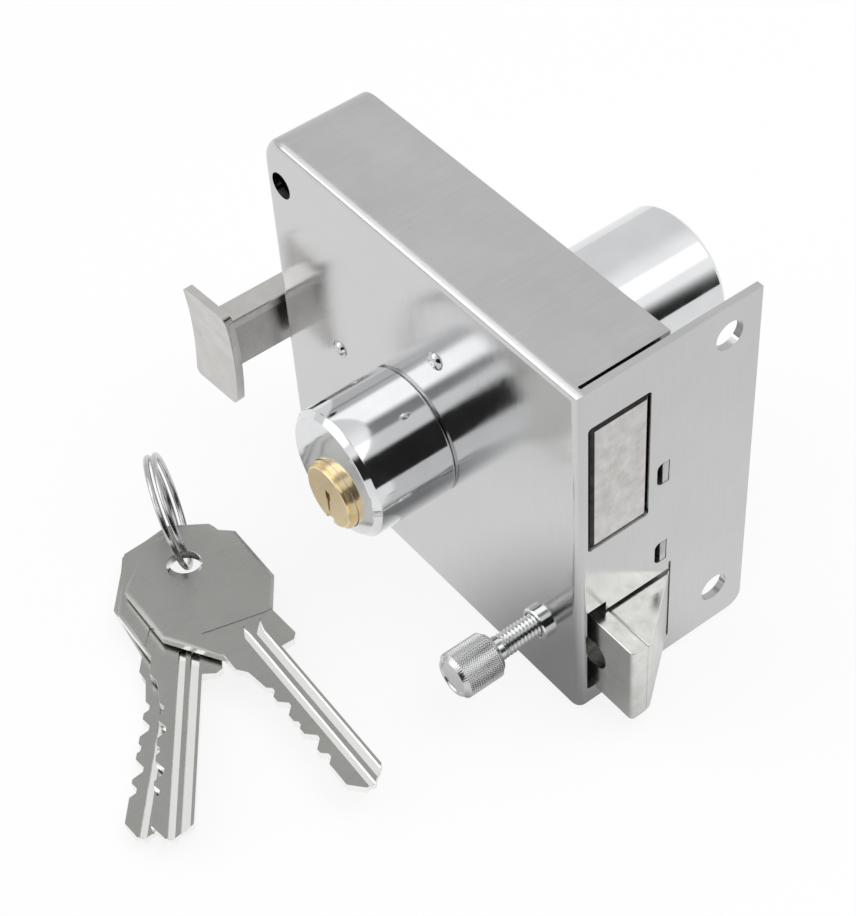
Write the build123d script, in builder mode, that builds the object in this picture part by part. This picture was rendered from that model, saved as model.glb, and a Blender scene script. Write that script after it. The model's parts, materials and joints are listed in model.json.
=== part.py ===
from build123d import *
import math
import os

os.makedirs("parts", exist_ok=True)

# Rim box lock with two key cylinders, a square bolt, a spring latch and three keys.
# Millimetres. Origin: on the cylinders' axis, in the plane of the case's rim that lies on the door.
# +X leaves the forend the way the bolt is thrown, +Y goes through the door, +Z is up.

# Case, one folded sheet: front, top, bottom, rear wall and forend
case_height = 84.0
case_length = 88.5
case_depth = 21.5
backset = 47.3
axis_height = 38.6
sheet = 1.5
bend_radius = 1.7
rear_corner_radius = 6.5
low_corner_radius = 2.4
forend_width = 40.0
forend_step = 1.8
forend_corner_radius = 3.0
corner_gap = 0.7
relief_radius = 0.4
fit_clearance = 0.1
slide_clearance = 0.3
overrun = 1.0
half = 0.5

front_y = -case_depth
right_x = backset
left_x = backset - case_length
bottom_z = -axis_height
top_z = bottom_z + case_height
inner_front_y = front_y + sheet
inner_right_x = right_x - sheet
inner_left_x = left_x + sheet
inner_top_z = top_z - sheet
inner_bottom_z = bottom_z + sheet
forend_end_y = front_y + forend_width
forend_bottom_z = bottom_z + forend_step

# Openings of the forend, measured from the case's front face and from its bottom, insets from its top
bolt_window_front = 2.1
bolt_window_rear = 15.8
bolt_window_low = 44.6
bolt_window_top_inset = 8.6
latch_window_front = 1.9
latch_window_rear = 21.6
latch_window_low = 5.7
latch_window_high = 25.8
latch_notch_rear = 6.3
latch_notch_high = 28.1
latch_slit_front = 21.1
latch_slit_high = 27.6
window_corner_radius = 0.8
tab_slot_front = 17.6
tab_slot_corner_radius = 1.2
tab_lows = (29.4, 50.35)
tab_height = 5.1
flange_hole_radius = 3.0
flange_hole_reach = 32.9
flange_hole_low = 11.0
flange_hole_top_inset = 6.9
mounting_hole_radius = 2.75
mounting_hole_inset = 5.2
mounting_hole_end_inset = 9.94

# Back plate, set into the rim, with two tabs through the forend
back_inset = 1.2
back_sheet = 1.4
spring_tab_width = 11.0
back_outer_y = -back_inset
back_inner_y = back_outer_y - back_sheet
spring_tab_inset = 42.0

# Two posts between front and back plate, headed over on the front
post_radius = 2.5
post_neck_radius = 1.5
post_head_radius = 1.9
post_head_height = 0.8
post_dome_share = 0.8
bolt_post_inset = 38.5
bolt_post_top_inset = 20.8
tail_post_inset = 69.4
post_screw_radius = 1.5
post_screw_length = 6.0
post_screw_head_radius = 2.75
post_screw_head_height = 1.0
screw_slot_width = 0.8
screw_slot_depth = 0.5
screw_chamfer = 0.3

# Key cylinders
inner_body_radius = 13.2
inner_body_length = 18.0
outer_body_radius = 14.5
outer_body_reach = 44.0
body_edge = 0.5
face_edge = 1.2
plug_drop = 4.5
plug_radius = 7.0
plug_clearance = 0.05
plug_protrusion = 1.8
plug_step_radius = 6.4
plug_step_length = 0.8
plug_edge = 0.3
plug_core_length = 17.6
plug_tail_radius = 3.5
keyway_top_width = 1.3
keyway_slit_width = 0.6
keyway_foot_width = 2.2
keyway_high = 1.6
keyway_slit_high = -0.6
keyway_foot_high = -4.8
pin_count = 5
pin_first = 3.4
pin_pitch = 3.1
pin_radius = 1.2
pin_chamber_clearance = 0.05
key_pin_lengths = (3.6, 4.4, 3.0, 4.0, 3.4)
driver_pin_length = 3.2
chamber_top_inset = 1.4
pin_spring_radius = 1.0
cam_thickness = 2.0
cam_hub_radius = 5.6
cam_tip_radius = 2.0
cam_tip_reach = 11.5
cam_rest_angle = 45.0
inner_cam_front = 7.8
outer_cam_front = 10.1
cylinder_screw_spread = 8.0
cylinder_screw_rise = 4.5
cylinder_screw_radius = 2.0
cylinder_screw_length = 9.0
cylinder_screw_head_radius = 3.0
cylinder_screw_head_height = 2.0

# Square bolt and its tail
bolt_throw = 18.0
bolt_recess = 0.1
bolt_side_gap = 0.3
bolt_wide_gap = 0.9
bolt_rear_inset = 34.2
bolt_edge = 0.6
bolt_tongue = 10.0
tail_front = 7.4
tail_rear = 12.5
tail_top_inset = 14.0
cam_hub_clearance = 2.3
tail_post_clearance = 2.3
tail_lobe_inset = 65.5
tail_end_inset = 79.5
notch_depth = 6.2
notch_flare_height = 3.8
notch_top_half_width = 2.5
notch_mouth_half_width = 4.4
detent_radius = 1.0
tail_corner_radius = 2.0
bolt_rivet_radius = 2.0
bolt_rivet_inset = 28.5
bolt_rivet_shares = (0.2, 0.68)
detent_strip = 0.5
detent_strip_width = 4.0
detent_foot_length = 8.0
detent_foot_inset = 80.0

# Spring latch: a slide plate that runs back to the handle, with the bevelled nose riveted to it
latch_travel = 11.3
latch_reach = 10.6
latch_front = 3.4
latch_seam = 7.0
latch_flat = 7.7
latch_heel = 21.3
latch_low = 6.0
latch_high = 25.3
latch_seam_step = 0.3
latch_body_inset = 22.0
latch_tip_radius = 0.9
latch_bevel_radius = 1.6
latch_seam_edge = 0.3
hold_hole_radius = 3.25
hold_hole_height = 15.6
thumb_inset = 11.0
hold_hole_depth = 5.4
slide_bar_front = 5.0
slide_bar_low = 8.0
slide_bar_high = 18.5
slide_rise_inset = 69.0
slide_rise_width = 12.0
slide_arm_low = 30.0
slide_arm_high = 39.9
slide_corner_radius = 3.0
nose_rivet_radius = 1.5
nose_rivet_places = ((8.0, 12.0), (17.5, 20.0))
arm_window_margin = 0.6

# Pull handle, cast, on the slide plate's arm outside the rear wall
stem_gap = 1.8
stem_width = 5.6
stem_low = 29.3
stem_high = 41.2
stem_rear = 9.6
pad_front = 12.4
pad_thickness = 1.8
pad_dish = 0.8
pad_overlap = 1.0
pad_edge_share = 0.02
pad_low = 19.2
pad_high = 42.6
pad_reach = 13.4
pad_corner_radius = 1.5
pad_lift = 0.8
stem_lip = 2.0
stem_undercut = 1.8
stem_corner_radius = 0.5
handle_rivet_radius = 1.25
handle_rivet_spread = 5.2

# Latch spring, on a rod behind the nose, against a tab of the back plate
latch_spring_radius = 2.7
latch_spring_wire = 0.6
latch_spring_turns = 8
spring_rod_radius = 1.6
spring_rod_depth = 14.0
spring_rod_height = 15.6
spring_rod_overhang = 4.0
spring_rod_seat = 6.0

# Thumb screw that holds the latch back
thumb_height = 17.0
bush_radius = 3.3
bush_length = 1.5
bush_nut_radius = 4.2
bush_nut_length = 1.1
thumb_stem_radius = 2.4
thumb_dog_radius = 1.75
thumb_dog_length = 3.0
thumb_tip_depth = 2.2
knob_radius = 4.65
knob_near = 11.2
knob_far = 20.4
knob_chamfer = 0.9

# Keys on a split ring, lying beside the lock
key_thickness = 2.2
key_gap = 0.3
key_ring_gap = 1.0
key_head_far = 9.2
key_head_half_width = 12.5
key_flat_half_width = 4.2
key_side_start = 1.6
key_side_end = 12.6
key_neck_start = 19.6
key_neck_high = 7.7
key_neck_low_start = 23.6
key_neck_low = 5.4
key_shoulder_length = 26.8
key_shoulder_high = 8.2
key_shoulder_low_length = 27.3
key_shoulder_edge = 1.1
key_ramp_length = 29.3
key_ramp_low = 3.9
key_blade_high = 4.4
key_blade_low = 3.2
key_length = 63.7
key_tip_high = 1.2
key_tip_slope = 2.8
key_hole_radius = 3.5
key_rim_limit = 18.5
key_edge_width = 0.9
key_edge_depth = 0.35
key_groove_depth = 0.45
key_groove_point = 2.6
key_grooves = ((19.6, 1.1, -0.1, 1.2), (20.1, 4.6, 2.2, 3.8))
key_back_grooves = ((19.6, 0.4, -0.6, 0.6), (20.1, 3.0, 1.6, 3.0))
key_collar_step = 0.2
key_collar = ((16.4, -6.0), (17.3, -2.0), (19.3, 6.5), (19.2, 8.0))
key_cut_first = 35.5
key_cut_pitch = 4.6
key_cut_depths = (0.9, 1.5, 0.6, 1.7, 1.1)
key_cut_floor = 0.9
key_holes = ((-70.2, -40.0), (-73.2, -38.2), (-75.0, -37.3))
key_headings = (-2.5, -36.3, -40.9)
ring_radius = 11.4
ring_wire = 0.6
ring_turn_gap = 0.4
ring_quarters = 7
ring_reach = (-81.25, -35.7)
ring_heading = -25.0
ring_lean = 10.5
ring_floor_gap = 0.1

# Points at which a coil's distance to itself is measured
gap_points_per_quarter = 12


def upright(y):
    """Plane facing the door side at depth y, with local x along X and local y along Z."""
    return Plane.XZ.offset(-y)


def deep(distance):
    """Depth that lies a distance behind the case's front face."""
    return front_y + distance


def high(distance):
    """Height that lies a distance above the case's bottom."""
    return bottom_z + distance


def back(distance):
    """Place along X that lies a distance behind the forend's outer face."""
    return right_x - distance


def block(x_low, x_high, y_low, y_high, z_low, z_high, mode=Mode.ADD):
    """A block between two corners, added to or cut from the part in hand."""
    with Locations(((x_low + x_high) / 2, (y_low + y_high) / 2, (z_low + z_high) / 2)):
        Box(x_high - x_low, y_high - y_low, z_high - z_low, mode=mode)


def rod(x, z, radius, y_low, y_high, mode=Mode.ADD):
    """A round bar along Y, added to or cut from the part in hand."""
    with Locations((x, (y_low + y_high) / 2, z)):
        Cylinder(radius, y_high - y_low, rotation=(90, 0, 0), mode=mode)


def cross_rod(y, z, radius, x_low, x_high, mode=Mode.ADD):
    """A round bar along X, added to or cut from the part in hand."""
    with Locations(((x_low + x_high) / 2, y, z)):
        Cylinder(radius, x_high - x_low, rotation=(0, 90, 0), mode=mode)


def coil_path(plane, radius, pitch, quarters):
    """Path of a coil about the plane's normal, made of two tangent arcs for each quarter turn.

    The arcs meet half way between the two handles that the end tangents span, where the handle
    length makes both handles of one quarter equally long.
    """
    rise = pitch / (2 * math.pi)
    arcs = []
    for quarter in range(quarters):
        ends = []
        for angle in (quarter * math.pi / 2, (quarter + 1) * math.pi / 2):
            spot = Vector(radius * math.cos(angle), radius * math.sin(angle), rise * angle)
            way = Vector(-radius * math.sin(angle), radius * math.cos(angle), rise)
            ends.append((spot, way.normalized()))
        (start, start_way), (end, end_way) = ends
        chord = end - start
        ways = start_way + end_way
        spread = 2 * (1 - start_way.dot(end_way))
        lean = chord.dot(ways)
        handle = (math.sqrt(lean**2 + spread * chord.dot(chord)) - lean) / spread
        near = start + start_way * handle
        far = end - end_way * handle
        middle = (near + far) / 2
        arcs.append(TangentArc(start, middle, tangent=start_way))
        arcs.append(TangentArc(middle, end, tangent=far - near))
    return plane.from_local_coords(Wire([arc.edge() for arc in arcs]))


def least_gap(line, wire_radius, quarters):
    """Least clear distance of a coil's wire to itself, between points half a turn or more apart."""
    count = quarters * gap_points_per_quarter
    points = [tuple(line @ (index / count)) for index in range(count + 1)]
    spans = (
        math.dist(near, far)
        for index, near in enumerate(points)
        for far in points[index + 2 * gap_points_per_quarter :]
    )
    return round(min(spans) - 2 * wire_radius, 2)


def save(builder, name):
    """Label the finished piece and write it to its own file."""
    builder.part.label = name
    export_step(builder.part, f"parts/{name}.step")


plug_z = -plug_drop
bolt_post_x = back(bolt_post_inset)
bolt_post_z = top_z - bolt_post_top_inset
tail_post_x = back(tail_post_inset)
tail_post_z = high(slide_arm_high) + slide_clearance + post_radius
post_places = ((bolt_post_x, bolt_post_z), (tail_post_x, tail_post_z))
bolt_window_low_z = high(bolt_window_low)
bolt_window_high_z = top_z - bolt_window_top_inset
flange_hole_places = (high(flange_hole_low), top_z - flange_hole_top_inset)
mounting_hole_x = left_x + mounting_hole_inset
mounting_hole_places = (high(mounting_hole_end_inset), top_z - mounting_hole_end_inset)
screw_places = (
    (-cylinder_screw_spread, cylinder_screw_rise),
    (cylinder_screw_spread, cylinder_screw_rise),
)
thumb_x = back(thumb_inset)
thumb_z = high(thumb_height)
rod_y = deep(spring_rod_depth)
rod_z = high(spring_rod_height)

# The case: front, walls and forend folded from one sheet, open towards the door
with BuildPart() as case_shell:
    with BuildSketch(upright(front_y)) as face_outline:
        with Locations(((left_x + right_x) / 2, (bottom_z + top_z) / 2)):
            Rectangle(case_length, case_height)
        fillet(face_outline.vertices().group_by(Axis.X)[0], rear_corner_radius)
        fillet(face_outline.vertices().group_by(Axis.X)[-1].sort_by(Axis.Y)[0], low_corner_radius)
    extrude(amount=-case_depth)
    fillet(case_shell.faces().sort_by(Axis.Y)[0].edges(), bend_radius)
    with BuildSketch(Plane.YZ.offset(inner_right_x)) as forend_outline:
        with Locations(((deep(bend_radius) + forend_end_y) / 2, (forend_bottom_z + top_z) / 2)):
            Rectangle(forend_end_y - deep(bend_radius), top_z - forend_bottom_z)
        fillet(forend_outline.vertices().group_by(Axis.X)[-1].sort_by(Axis.Y)[0], forend_corner_radius)
    extrude(amount=sheet)
    with BuildSketch(upright(inner_front_y)) as hollow_outline:
        with Locations(((inner_left_x + inner_right_x) / 2, (inner_bottom_z + inner_top_z) / 2)):
            Rectangle(inner_right_x - inner_left_x, inner_top_z - inner_bottom_z)
        fillet(hollow_outline.vertices().group_by(Axis.X)[0], rear_corner_radius - sheet)
    extrude(amount=-case_depth, mode=Mode.SUBTRACT)
    relief_y = deep(bend_radius + relief_radius)
    for wall_low, wall_high in ((inner_top_z, top_z), (bottom_z, inner_bottom_z)):
        gap_low = inner_right_x - corner_gap
        block(gap_low, inner_right_x, relief_y, overrun, wall_low, wall_high, Mode.SUBTRACT)
        with Locations((inner_right_x - corner_gap / 2, relief_y, (wall_low + wall_high) / 2)):
            Cylinder(relief_radius, sheet, mode=Mode.SUBTRACT)
    block(gap_low, right_x, relief_y, overrun, bottom_z, forend_bottom_z, Mode.SUBTRACT)
    with BuildSketch(Plane.YZ.offset(inner_right_x)) as windows:
        bolt_window_centre = (
            deep((bolt_window_front + bolt_window_rear) / 2),
            (bolt_window_low_z + bolt_window_high_z) / 2,
        )
        with Locations(bolt_window_centre):
            RectangleRounded(
                bolt_window_rear - bolt_window_front,
                bolt_window_high_z - bolt_window_low_z,
                window_corner_radius,
            )
        latch_window_centre = (
            deep((latch_window_front + latch_window_rear) / 2),
            high((latch_window_low + latch_window_high) / 2),
        )
        with Locations(latch_window_centre):
            RectangleRounded(
                latch_window_rear - latch_window_front,
                latch_window_high - latch_window_low,
                window_corner_radius,
            )
        latch_middle = (latch_window_low + latch_window_high) / 2
        for strip_front, strip_rear, strip_high in (
            (latch_window_front, latch_notch_rear, latch_notch_high),
            (latch_slit_front, latch_window_rear, latch_slit_high),
        ):
            strip_centre = (deep((strip_front + strip_rear) / 2), high((latch_middle + strip_high) / 2))
            with Locations(strip_centre):
                Rectangle(strip_rear - strip_front, strip_high - latch_middle)
        for tab_low in tab_lows:
            slot_low_y = deep(tab_slot_front)
            slot_high_y = back_outer_y + fit_clearance
            with Locations(((slot_low_y + slot_high_y) / 2, high(tab_low + tab_height / 2))):
                Rectangle(slot_high_y - slot_low_y, tab_height + 2 * fit_clearance)
        for hole_z in flange_hole_places:
            with Locations((deep(flange_hole_reach), hole_z)):
                Circle(flange_hole_radius)
        slot_corners = (
            (slot_low_y, high(tab_low) + corner_side)
            for tab_low in tab_lows
            for corner_side in (-fit_clearance, tab_height + fit_clearance)
        )
        for slot_corner in slot_corners:
            fillet(windows.vertices().sort_by_distance(slot_corner)[0], tab_slot_corner_radius)
    extrude(amount=sheet, mode=Mode.SUBTRACT)
    for hole_z in mounting_hole_places:
        rod(
            mounting_hole_x,
            hole_z,
            mounting_hole_radius,
            front_y,
            inner_front_y,
            Mode.SUBTRACT,
        )
    for post_x, post_z in post_places:
        rod(post_x, post_z, post_neck_radius, front_y, inner_front_y, Mode.SUBTRACT)
    for screw_x, screw_z in screw_places:
        screw_hole = cylinder_screw_radius + fit_clearance
        rod(screw_x, screw_z, screw_hole, front_y, inner_front_y, Mode.SUBTRACT)
    rod(0, plug_z, plug_tail_radius + slide_clearance, front_y, inner_front_y, Mode.SUBTRACT)
    rod(thumb_x, thumb_z, bush_radius, front_y, inner_front_y, Mode.SUBTRACT)
    block(
        left_x,
        inner_left_x,
        deep(slide_bar_front) - arm_window_margin,
        deep(latch_seam) + arm_window_margin,
        high(slide_arm_low) - arm_window_margin,
        high(slide_arm_high) + arm_window_margin,
        Mode.SUBTRACT,
    )
save(case_shell, "case_shell")

# Back plate with forend tabs, latch cut-out and the spring's tab bent inwards
latch_bay_left = back(latch_body_inset + latch_travel) - slide_clearance
with BuildPart() as back_plate:
    with BuildSketch(upright(back_inner_y)) as back_outline:
        plate_left = inner_left_x + fit_clearance
        plate_right = inner_right_x - fit_clearance
        plate_low = inner_bottom_z + fit_clearance
        plate_high = inner_top_z - fit_clearance
        with Locations(((plate_left + plate_right) / 2, (plate_low + plate_high) / 2)):
            Rectangle(plate_right - plate_left, plate_high - plate_low)
        fillet(back_outline.vertices().group_by(Axis.X)[0], rear_corner_radius - sheet - fit_clearance)
        for tab_low in tab_lows:
            with Locations(((plate_right + right_x) / 2, high(tab_low + tab_height / 2))):
                Rectangle(right_x - plate_right, tab_height)
        bay_low = high(latch_low) - slide_clearance
        bay_high = high(latch_high) + slide_clearance
        with Locations(((latch_bay_left + plate_right) / 2, (bay_low + bay_high) / 2)):
            Rectangle(plate_right - latch_bay_left, bay_high - bay_low, mode=Mode.SUBTRACT)
        with Locations((0, plug_z)):
            Circle(plug_tail_radius + slide_clearance, mode=Mode.SUBTRACT)
        with Locations(*screw_places):
            Circle(cylinder_screw_radius + fit_clearance, mode=Mode.SUBTRACT)
        with Locations(*post_places):
            Circle(post_screw_radius + fit_clearance, mode=Mode.SUBTRACT)
        with Locations(*((mounting_hole_x, hole_z) for hole_z in mounting_hole_places)):
            Circle(mounting_hole_radius, mode=Mode.SUBTRACT)
    extrude(amount=-back_sheet)
    spring_tab_x = back(spring_tab_inset)
    block(
        spring_tab_x - back_sheet,
        spring_tab_x,
        rod_y - spring_tab_width / 2,
        back_inner_y,
        rod_z - spring_tab_width / 2,
        rod_z + spring_tab_width / 2,
    )
    cross_rod(
        rod_y,
        rod_z,
        spring_rod_radius + slide_clearance,
        spring_tab_x - back_sheet,
        spring_tab_x,
        Mode.SUBTRACT,
    )
save(back_plate, "back_plate")

# Posts: a domed head over the front face, a neck in the sheet and a tapped shank up to the back plate
for post_name, (post_x, post_z) in zip(("bolt_guide_post", "tail_guide_post"), post_places):
    with BuildPart() as guide_post:
        rod(post_x, post_z, post_neck_radius, front_y, inner_front_y)
        rod(post_x, post_z, post_radius, inner_front_y, back_inner_y)
        with BuildSketch(Plane.XY.offset(post_z)):
            with BuildLine():
                crown = (post_x, front_y - post_head_height)
                haunch_x = post_x + post_head_radius * math.sin(math.pi / 4)
                haunch = (haunch_x, front_y - post_head_height * post_dome_share)
                rim_point = (post_x + post_head_radius, front_y)
                ThreePointArc(crown, haunch, rim_point)
                Line(rim_point, (post_x, front_y))
                Line((post_x, front_y), crown)
            make_face()
        revolve(axis=Axis((post_x, 0, post_z), (0, 1, 0)))
        rod(post_x, post_z, post_screw_radius, back_outer_y - post_screw_length, back_inner_y, Mode.SUBTRACT)
    save(guide_post, post_name)


def slotted_screw(x, z, radius, tip_y, seat_y, head_radius, head_height):
    """A pan-headed screw along Y whose head lies on the seat, towards +Y if the tip is below it."""
    away = math.copysign(1, seat_y - tip_y)
    head_y = seat_y + away * head_height
    rod(x, z, radius, min(tip_y, seat_y), max(tip_y, seat_y))
    rod(x, z, head_radius, min(seat_y, head_y), max(seat_y, head_y))
    slot_y = head_y - away * screw_slot_depth
    block(
        x - head_radius,
        x + head_radius,
        min(slot_y, head_y),
        max(slot_y, head_y),
        z - screw_slot_width / 2,
        z + screw_slot_width / 2,
        Mode.SUBTRACT,
    )


# Screws that hold the back plate on the posts, their heads below the rim
with BuildPart() as back_plate_screws:
    for post_x, post_z in post_places:
        slotted_screw(
            post_x,
            post_z,
            post_screw_radius,
            back_outer_y - post_screw_length,
            back_outer_y,
            post_screw_head_radius,
            post_screw_head_height,
        )
save(back_plate_screws, "back_plate_screws")


def pin_place(face_y, inward, number):
    """Depth of one pin, counted from the cylinder's face along its inward direction."""
    return face_y + inward * (pin_first + number * pin_pitch)


def pin_bars(face_y, inward, radius, spans, mode=Mode.ADD):
    """Upright round bars at the pin places, each between two heights above the plug's axis."""
    for number, (span_low, span_high) in enumerate(spans):
        with Locations((0, pin_place(face_y, inward, number), plug_z + (span_low + span_high) / 2)):
            Cylinder(radius, span_high - span_low, mode=mode)


def cylinder_set(prefix, face_y, seat_y, cam_y, body_radius):
    """One key cylinder: body, plug, pins, springs and the cam on the plug's tail.

    The face is where the key goes in, the seat is where the body lies on its plate, and the
    direction from face to seat is the way that the plug runs into the case.
    """
    inward = math.copysign(1, seat_y - face_y)
    shear = plug_radius
    chamber_top = plug_drop + body_radius - chamber_top_inset
    chamber_radius = pin_radius + pin_chamber_clearance
    driver_top = shear + driver_pin_length
    with BuildPart() as body:
        rod(0, 0, body_radius, min(face_y, seat_y), max(face_y, seat_y))
        rims = body.edges().filter_by(GeomType.CIRCLE)
        chamfer(rims.sort_by_distance((0, seat_y, 0))[0], body_edge)
        chamfer(rims.sort_by_distance((0, face_y, 0))[0], face_edge)
        bore = plug_radius + plug_clearance
        rod(0, plug_z, bore, min(face_y, seat_y), max(face_y, seat_y), Mode.SUBTRACT)
        pin_bars(face_y, inward, chamber_radius, [(0, chamber_top)] * pin_count, Mode.SUBTRACT)
        for screw_x, screw_z in screw_places:
            depth_y = seat_y - inward * cylinder_screw_length
            low_y = min(seat_y, depth_y)
            high_y = max(seat_y, depth_y)
            rod(screw_x, screw_z, cylinder_screw_radius, low_y, high_y, Mode.SUBTRACT)
    save(body, prefix + "_cylinder_body")

    core_y = face_y + inward * plug_core_length
    nose_y = face_y - inward * plug_protrusion
    step_y = nose_y + inward * plug_step_length
    cam_low = cam_y
    cam_high = cam_y + cam_thickness
    tail_y = cam_high if inward > 0 else cam_low
    with BuildPart() as plug:
        rod(0, plug_z, plug_step_radius, min(nose_y, step_y), max(nose_y, step_y))
        plug_rims = plug.edges().filter_by(GeomType.CIRCLE)
        fillet(plug_rims.sort_by_distance((0, nose_y, plug_z))[0], plug_edge)
        rod(0, plug_z, plug_radius - plug_clearance, min(step_y, core_y), max(step_y, core_y))
        rod(0, plug_z, plug_tail_radius, min(core_y, tail_y), max(core_y, tail_y))
        for slot_width, slot_low, slot_high in (
            (keyway_top_width, keyway_slit_high, keyway_high),
            (keyway_slit_width, keyway_foot_high, keyway_slit_high),
            (keyway_foot_width, -plug_radius, keyway_foot_high),
        ):
            block(
                -slot_width / 2,
                slot_width / 2,
                min(nose_y, core_y),
                max(nose_y, core_y),
                plug_z + slot_low,
                plug_z + slot_high,
                Mode.SUBTRACT,
            )
        pin_bars(face_y, inward, chamber_radius, [(0, plug_radius)] * pin_count, Mode.SUBTRACT)
    save(plug, prefix + "_plug")

    with BuildPart() as key_pins:
        pin_shear = shear - plug_clearance
        pin_bars(face_y, inward, pin_radius, [(pin_shear - length, pin_shear) for length in key_pin_lengths])
    save(key_pins, prefix + "_key_pins")

    with BuildPart() as driver_pins:
        driver_low = shear + plug_clearance
        pin_bars(face_y, inward, pin_radius, [(driver_low, driver_top)] * pin_count)
    save(driver_pins, prefix + "_driver_pins")

    with BuildPart() as pin_springs:
        pin_bars(face_y, inward, pin_spring_radius, [(driver_top, chamber_top)] * pin_count)
    save(pin_springs, prefix + "_pin_springs")

    with BuildPart() as cam:
        with BuildSketch(upright(cam_low)):
            with Locations((0, plug_z)):
                Circle(cam_hub_radius)
                with Locations(Location((0, 0, 0), (0, 0, 90 + cam_rest_angle))):
                    with Locations((cam_tip_reach / 2, 0)):
                        Rectangle(cam_tip_reach, 2 * cam_tip_radius)
                    with Locations((cam_tip_reach, 0)):
                        Circle(cam_tip_radius)
                Circle(plug_tail_radius, mode=Mode.SUBTRACT)
        extrude(amount=-cam_thickness)
    save(cam, prefix + "_cam")


cylinder_set("inner", front_y - inner_body_length, front_y, deep(inner_cam_front), inner_body_radius)
cylinder_set("outer", outer_body_reach, back_outer_y, deep(outer_cam_front), outer_body_radius)

# Screws from inside the case into the back of each cylinder body
for screw_set, seat_y, inward in (("inner", inner_front_y, 1), ("outer", back_inner_y, -1)):
    with BuildPart() as cylinder_screws:
        for screw_x, screw_z in screw_places:
            slotted_screw(
                screw_x,
                screw_z,
                cylinder_screw_radius,
                seat_y - inward * cylinder_screw_length,
                seat_y,
                cylinder_screw_head_radius,
                cylinder_screw_head_height,
            )
    save(cylinder_screws, screw_set + "_cylinder_screws")

# Bolt head, slotted at the back for its tail
head_low_y = deep(bolt_window_front + bolt_wide_gap)
head_high_y = deep(bolt_window_rear - bolt_side_gap)
head_low_z = bolt_window_low_z + bolt_side_gap
head_high_z = bolt_window_high_z - bolt_wide_gap
bolt_rivet_x = back(bolt_rivet_inset)
bolt_rivet_heights = tuple(head_low_z + share * (head_high_z - head_low_z) for share in bolt_rivet_shares)
bolt_face_x = right_x - bolt_recess
bolt_rear_x = back(bolt_rear_inset)
tongue_x = bolt_rear_x + bolt_tongue
with BuildPart() as bolt_head:
    block(bolt_rear_x, bolt_face_x, head_low_y, head_high_y, head_low_z, head_high_z)
    chamfer(bolt_head.faces().sort_by(Axis.X)[-1].edges(), bolt_edge)
    block(bolt_rear_x, tongue_x, deep(tail_front), deep(tail_rear), head_low_z, head_high_z, Mode.SUBTRACT)
    for rivet_z in bolt_rivet_heights:
        rod(bolt_rivet_x, rivet_z, bolt_rivet_radius, head_low_y, head_high_y, Mode.SUBTRACT)
save(bolt_head, "bolt_head")

# Bolt tail: slot for its post, notch for the cams and two detents along its top edge
tail_top_z = top_z - tail_top_inset
tail_low_z = plug_z + cam_hub_radius + cam_hub_clearance
tail_rear_low_z = tail_post_z + post_radius + tail_post_clearance
tail_end_x = back(tail_end_inset)
lobe_x = back(tail_lobe_inset)
notch_x = -bolt_throw / 2
detent_x = (tail_end_x + notch_x) / 2
with BuildPart() as bolt_tail:
    with BuildSketch(upright(deep(tail_front))) as tail_outline:
        with BuildLine():
            Polyline(
                (tongue_x, head_low_z),
                (bolt_rear_x, head_low_z),
                (bolt_rear_x, tail_low_z),
                (lobe_x, tail_low_z),
                (lobe_x, tail_rear_low_z),
                (tail_end_x, tail_rear_low_z),
                (tail_end_x, tail_top_z),
                (tongue_x, tail_top_z),
                close=True,
            )
        make_face()
        fillet(tail_outline.vertices().group_by(Axis.X)[0], tail_corner_radius)
        slot_right = bolt_post_x + post_radius + slide_clearance
        slot_left = bolt_post_x - bolt_throw - post_radius - slide_clearance
        with Locations(((slot_left + slot_right) / 2, bolt_post_z)):
            SlotOverall(slot_right - slot_left, 2 * (post_radius + slide_clearance), mode=Mode.SUBTRACT)
        with BuildLine():
            Polyline(
                (notch_x - notch_mouth_half_width, tail_low_z),
                (notch_x - notch_top_half_width, tail_low_z + notch_flare_height),
                (notch_x - notch_top_half_width, tail_low_z + notch_depth),
                (notch_x + notch_top_half_width, tail_low_z + notch_depth),
                (notch_x + notch_top_half_width, tail_low_z + notch_flare_height),
                (notch_x + notch_mouth_half_width, tail_low_z),
                close=True,
            )
        make_face(mode=Mode.SUBTRACT)
        with Locations((detent_x, tail_top_z), (detent_x - bolt_throw, tail_top_z)):
            Circle(detent_radius, mode=Mode.SUBTRACT)
        for rivet_z in bolt_rivet_heights:
            with Locations((bolt_rivet_x, rivet_z)):
                Circle(bolt_rivet_radius, mode=Mode.SUBTRACT)
    extrude(amount=tail_front - tail_rear)
save(bolt_tail, "bolt_tail")

with BuildPart() as bolt_rivets:
    for rivet_z in bolt_rivet_heights:
        rod(bolt_rivet_x, rivet_z, bolt_rivet_radius, head_low_y, head_high_y)
save(bolt_rivets, "bolt_rivets")

# Leaf spring under the case's top wall whose bump rides on the tail's top edge
foot_left = back(detent_foot_inset)
foot_right = foot_left + detent_foot_length
leaf_low_z = tail_top_z + slide_clearance
with BuildPart() as detent_spring:
    with BuildSketch(upright(deep((tail_front + tail_rear - detent_strip_width) / 2))) as leaf_outline:
        with BuildLine() as leaf_line:
            Polyline(
                (foot_left, inner_top_z - detent_strip / 2),
                (foot_right, inner_top_z - detent_strip / 2),
                (detent_x - detent_radius, leaf_low_z + detent_strip + detent_radius),
                (detent_x, leaf_low_z + detent_strip / 2),
                (detent_x + 2 * detent_radius, leaf_low_z + detent_strip + 2 * detent_radius),
            )
        trace(leaf_line.edges(), line_width=detent_strip)
    extrude(amount=-detent_strip_width)
save(detent_spring, "detent_spring")

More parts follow.
